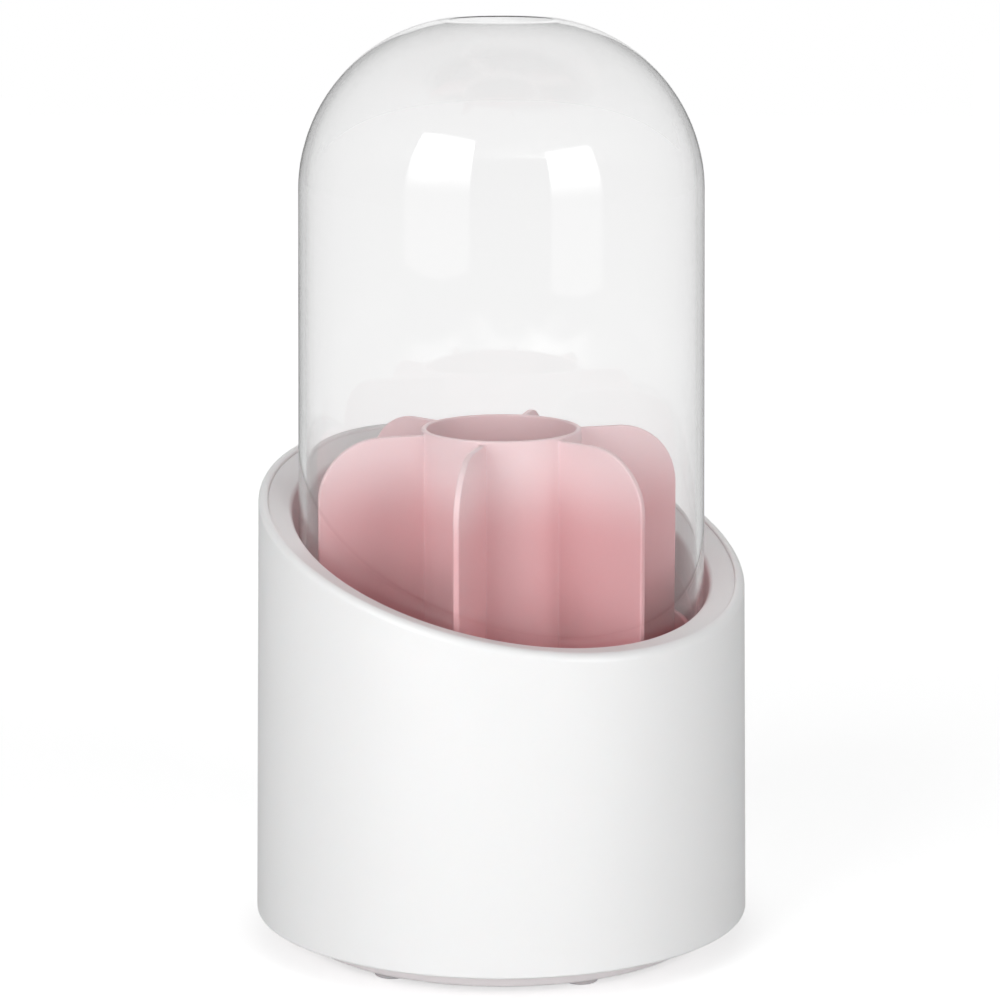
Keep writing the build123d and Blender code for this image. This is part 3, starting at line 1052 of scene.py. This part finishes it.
@dataclass
class Softbox:
    """Rectangular lamp that faces a target from a view azimuth and elevation.

    Args:
        name: Name of the lamp.
        azimuth: View azimuth that it stands at, in degrees.
        elevation: Its elevation over the target, in degrees.
        distance: Its distance from the target in metres.
        width: Its width in metres.
        height: Its height in metres.
        radiance: How bright it looks, where 1 is white.
        target: Place that it faces.
        mirrored: True if it shows in clear and glossy surfaces.
        lights: True if it lights dull surfaces.
        foot: Share of its brightness that is left at its lower edge.
        fade_start: Share of its height up to which it is that dim.
        fade_end: Share of its height from which it is fully bright.
    """

    name: str
    azimuth: float
    elevation: float
    distance: float
    width: float
    height: float
    radiance: float
    target: tuple[float, float, float] = (0.0, 0.0, 0.11)
    mirrored: bool = False
    lights: bool = True
    foot: float = 1.0
    fade_start: float = 0.2
    fade_end: float = 0.72

    def build(self) -> Object:
        """Makes the lamp.

        Returns:
            The new lamp.
        """
        data = bpy.data.lights.new(self.name, "AREA")
        data.shape = "RECTANGLE"
        data.size = self.width
        data.size_y = self.height
        data.energy = self.radiance * math.pi * self.width * self.height
        if self.foot < 1:
            self.dim_foot(data)
        lamp = bpy.data.objects.new(self.name, data)
        bpy.context.scene.collection.objects.link(lamp)
        away = view_direction(self.azimuth, self.elevation)
        lamp.location = Vector(self.target) + away * self.distance
        lamp.rotation_euler = away.to_track_quat("Z", "Y").to_euler()
        lamp.visible_glossy = lamp.visible_transmission = self.mirrored
        lamp.visible_diffuse = self.lights
        return lamp

    def dim_foot(self, data: Light) -> None:
        """Dims the lamp's cloth towards its lower edge.

        Args:
            data: Lamp that gets the nodes.
        """
        data.use_nodes = True
        tree = data.node_tree
        tree.nodes.clear()
        place = add_node(tree, "ShaderNodeNewGeometry").outputs["Parametric"]
        parts = add_node(tree, "ShaderNodeSeparateXYZ", links={"Vector": place})
        rise = add_node(
            tree,
            "ShaderNodeMapRange",
            settings={"interpolation_type": "SMOOTHSTEP"},
            values={"From Min": self.fade_start, "From Max": self.fade_end, "To Min": self.foot},
            links={"Value": parts.outputs["Y"]},
        )
        shine = add_node(tree, "ShaderNodeEmission", links={"Strength": rise.outputs["Result"]})
        add_node(tree, "ShaderNodeOutputLight", links={"Surface": shine.outputs["Emission"]})


def view_direction(azimuth: float, elevation: float) -> Vector:
    """Direction from the object towards a viewer at an azimuth and elevation in degrees."""
    a, e = math.radians(azimuth), math.radians(elevation)
    return Vector((math.sin(a) * math.cos(e), -math.cos(a) * math.cos(e), math.sin(e)))


@dataclass
class Studio:
    """Pale floor, plain white surround, soft lamps and the camera.

    Lengths are in metres and angles in degrees. The camera's values come from a fit to the
    photograph. The floor shines a little by itself, more so from floor_reach outwards. The
    surround's strengths are ambient for light that falls on the object, mirrored_room where a
    surface mirrors it, and within_walls for light that was mirrored inside a clear wall.
    """

    azimuth: float = -34.6
    elevation: float = 11.25
    distance: float = 1.03989
    aim_height: float = 0.125163
    aim_right: float = -0.000395
    focal_pixels: float = 3697.84
    sensor: float = 36.0
    floor_side: float = 5.0
    floor_colour: str = "#EDEDED"
    floor_lift: float = 0.75
    floor_lift_near: float = 0.52
    floor_reach: float = 1.8
    card_width: float = 0.9
    card_height: float = 1.0
    ambient: float = 0.3
    mirrored_room: float = 0.34
    within_walls: float = 0.75
    softbox_distance: float = 0.9
    cloth_gap: float = 0.01
    cloth_radiance: float = 3.6
    cloth_foot: float = 0.12

    def build(self) -> None:
        """Makes everything that isn't part of the object."""
        self.build_world()
        floor = self.build_floor()
        self.build_card()
        self.build_camera()
        self.hang_softbox("Left", -36, width=0.6, height=0.85, seen=0.52, middle=0.44, light=2.62)
        self.hang_softbox("Right", 42, width=0.47, height=0.65, seen=0.41, middle=0.36, light=2.86)
        self.fill_shadows()
        self.light_back(floor)
        bpy.context.scene.view_settings.view_transform = "Standard"

    def hang_softbox(
        self,
        side: str,
        turn: float,
        width: float,
        height: float,
        seen: float,
        middle: float,
        light: float,
    ) -> None:
        """Hangs a softbox as two lamps, so that clear surfaces mirror it with a dim foot.

        The cloth hangs just before the lamp: of two lamps in one place only one is mirrored.

        Args:
            side: Side of the object that it stands on, for its name.
            turn: How far round from the camera it stands, in degrees.
            width: Its width in metres.
            height: Its height in metres.
            seen: Height of the mirrored cloth's middle over the floor in metres.
            middle: Height of the lamp's middle over the floor in metres.
            light: How strongly it lights dull surfaces.
        """
        lamp = Softbox(
            f"{side} softbox",
            self.azimuth + turn,
            elevation=0,
            distance=self.softbox_distance,
            width=width,
            height=height,
            radiance=light,
            target=(0, 0, middle),
        )
        lamp.build()
        cloth = replace(
            lamp,
            name=f"{side} cloth",
            distance=self.softbox_distance - self.cloth_gap,
            radiance=self.cloth_radiance,
            target=(0, 0, seen),
            mirrored=True,
            lights=False,
            foot=self.cloth_foot,
        )
        cloth.build()

    def fill_shadows(self) -> None:
        """Lights the front and the top faintly, with lamps that no surface mirrors."""
        Softbox(
            "Front key",
            self.azimuth - 8,
            elevation=42,
            distance=1.5,
            width=1.2,
            height=1.0,
            radiance=0.1,
        ).build()
        Softbox(
            "Low front fill",
            self.azimuth - 10,
            elevation=0,
            distance=0.9,
            width=0.8,
            height=0.22,
            radiance=1.75,
            target=(0, 0, 0.125),
        ).build()
        back = self.azimuth + 180
        Softbox(
            "High back fill", back, elevation=65, distance=1.2, width=1.0, height=1.0, radiance=0.42
        ).build()

    def light_back(self, floor: Object) -> None:
        """Lights the object's back, but not the floor behind it, which shows through the dome.

        Args:
            floor: The floor.
        """
        back = self.azimuth + 180
        lamp = Softbox(
            "Back fill", back, elevation=20, distance=1.5, width=1.3, height=1.0, radiance=3.0
        ).build()
        unlit = bpy.data.collections.new("Not lit from behind")
        unlit.objects.link(floor)
        unlit.collection_objects[0].light_linking.link_state = "EXCLUDE"
        lamp.light_linking.receiver_collection = unlit

    def build_world(self) -> None:
        """Makes a surround that looks white and lights the object evenly.

        Light that a surface mirrors comes from a dimmer room, or the clear dome would vanish.
        """
        world = bpy.data.worlds.new("Surround")
        world.use_nodes = True
        tree = world.node_tree
        tree.nodes.clear()
        strength = self.seen_strength(
            tree,
            lighting=self.ambient,
            mirrored=self.mirrored_room,
            within=self.within_walls,
            seen=1.0,
        )
        light = add_node(
            tree,
            "ShaderNodeBackground",
            values={"Color": linear("#FFFFFF")},
            links={"Strength": strength},
        )
        add_node(tree, "ShaderNodeOutputWorld", links={"Surface": light.outputs["Background"]})
        bpy.context.scene.world = world

    def seen_strength(
        self, tree: NodeTree, lighting: float, mirrored: float, within: float, seen: float
    ) -> NodeSocket:
        """Adds nodes that tell how strong a surround or floor shines for each kind of ray.

        Args:
            tree: Node tree that gets the nodes.
            lighting: Strength for light that falls on the object.
            mirrored: Strength where a surface mirrors it.
            within: Strength for light that leaves a clear wall after being mirrored inside it.
            seen: Strength where the camera sees it, also through glass.

        Returns:
            The strength.
        """
        path = add_node(tree, "ShaderNodeLightPath").outputs
        straight = add_node(
            tree,
            "ShaderNodeMath",
            settings={"operation": "MAXIMUM"},
            links={0: path["Is Camera Ray"], 1: path["Is Transmission Ray"]},
        )
        onto = add_node(
            tree,
            "ShaderNodeMix",
            settings={"data_type": "FLOAT"},
            values={FLOAT_A: lighting, FLOAT_B: mirrored},
            links={FACTOR: path["Is Glossy Ray"]},
        )
        through = add_node(
            tree,
            "ShaderNodeMix",
            settings={"data_type": "FLOAT"},
            values={FLOAT_A: seen, FLOAT_B: within},
            links={FACTOR: path["Glossy Depth"]},
        )
        strength = add_node(
            tree,
            "ShaderNodeMix",
            settings={"data_type": "FLOAT"},
            links={
                FACTOR: straight.outputs["Value"],
                FLOAT_A: onto.outputs[FLOAT_OUT],
                FLOAT_B: through.outputs[FLOAT_OUT],
            },
        )
        return strength.outputs[FLOAT_OUT]

    def build_sheet(self, name: str, material: Material, matrix: Matrix) -> Object:
        """Makes one flat sheet of the stage.

        Args:
            name: Name of the sheet.
            material: Its material.
            matrix: Size, turn and place of a sheet of one metre.

        Returns:
            The sheet, which isn't part of the object.
        """
        bm = bmesh.new()
        bmesh.ops.create_grid(bm, x_segments=1, y_segments=1, size=0.5, matrix=matrix)
        mesh = bpy.data.meshes.new(name)
        bm.to_mesh(mesh)
        bm.free()
        mesh.materials.append(material)
        sheet = bpy.data.objects.new(name, mesh)
        bpy.context.scene.collection.objects.link(sheet)
        return sheet

    def build_floor(self) -> Object:
        """Makes the floor, which looks white where nothing shades it.

        The lamps light it less further out, so there it shines a little more by itself.

        Returns:
            The floor.
        """
        material = new_material("Pale matt paper")
        tree = material.node_tree
        place = add_node(tree, "ShaderNodeTexCoord").outputs["Object"]
        spread = add_node(
            tree,
            "ShaderNodeMapping",
            values={"Scale": (1 / self.floor_reach, 1 / self.floor_reach, 1.0)},
            links={"Vector": place},
        )
        near = add_node(
            tree,
            "ShaderNodeTexGradient",
            settings={"gradient_type": "QUADRATIC_SPHERE"},
            links={"Vector": spread.outputs["Vector"]},
        )
        lift = add_node(
            tree,
            "ShaderNodeMapRange",
            values={"To Min": self.floor_lift, "To Max": self.floor_lift_near},
            links={"Value": near.outputs["Fac"]},
        )
        seen = self.seen_strength(
            tree, lighting=0.0, mirrored=0.0, within=self.within_walls, seen=1.0
        )
        shine = add_node(
            tree,
            "ShaderNodeMath",
            settings={"operation": "MULTIPLY"},
            links={0: seen, 1: lift.outputs["Result"]},
        )
        surface = add_node(
            tree,
            "ShaderNodeBsdfPrincipled",
            values={
                "Base Color": linear(self.floor_colour),
                "Roughness": 0.9,
                "Specular IOR Level": 0.0,
                "Emission Color": linear("#FFFFFF"),
            },
            links={"Emission Strength": shine.outputs["Value"]},
        )
        add_node(tree, "ShaderNodeOutputMaterial", links={"Surface": surface.outputs["BSDF"]})
        floor = self.build_sheet("floor", material, Matrix.Scale(self.floor_side, 4))
        floor.visible_glossy = False
        return floor

    def build_card(self) -> None:
        """Stands a white card behind the object, which the dome's flat top mirrors."""
        material = new_material("White card")
        tree = material.node_tree
        white = {"Color": linear("#FFFFFF"), "Strength": 1.0}
        shine = add_node(tree, "ShaderNodeEmission", values=white)
        add_node(tree, "ShaderNodeOutputMaterial", links={"Surface": shine.outputs["Emission"]})
        away = view_direction(self.azimuth + 180, 0)
        turn = away.to_track_quat("Z", "Y").to_matrix().to_4x4()
        middle = Vector((0, 0, self.card_height / 2))
        place = Matrix.Translation(away * self.floor_side / 2 + middle)
        size = Matrix.Diagonal((self.card_width, self.card_height, 1, 1))
        card = self.build_sheet("card", material, place @ turn @ size)
        card.visible_diffuse = card.visible_shadow = False

    def build_camera(self) -> None:
        """Makes the camera, at the angle and distance of the photograph."""
        data = bpy.data.cameras.new("camera")
        data.sensor_width = self.sensor
        data.lens = self.focal_pixels * self.sensor / IMAGE_SIDE
        camera = bpy.data.objects.new("camera", data)
        bpy.context.scene.collection.objects.link(camera)
        away = view_direction(self.azimuth, self.elevation)
        turn = math.radians(self.azimuth)
        right = Vector((math.cos(turn), math.sin(turn), 0))
        aim = right * self.aim_right + Vector((0, 0, self.aim_height))
        camera.location = aim + away * self.distance
        camera.rotation_euler = away.to_track_quat("Z", "Y").to_euler()
        bpy.context.scene.camera = camera


def main() -> None:
    """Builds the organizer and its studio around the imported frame."""
    logging.basicConfig(level=logging.INFO, format="%(name)s: %(message)s")
    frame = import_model()
    drum = Drum()
    drum.build_shell(WHITE_ABS.build())
    drum.build_cup(LINER_ABS.build())
    DividerTray().build(PINK_ABS.build())
    Dome().build(DOME_PLASTIC.build())
    hardware = Hardware(frame["nodes"])
    hardware.dress(BASE_PP.build(), "turntable_disc", "base_cover")
    hardware.dress(PAD_RUBBER.build(), "foot_pad_")
    hardware.dress(CAGE_NYLON.build(), "ball_cage")
    hardware.dress(BALL_STEEL.build(), "ball_0", "ball_1")
    hardware.dress(SCREW_STEEL.build(), "pivot_washer", "pivot_screw", "case_screws")
    Studio().build()


if __name__ == "__main__":
    main()
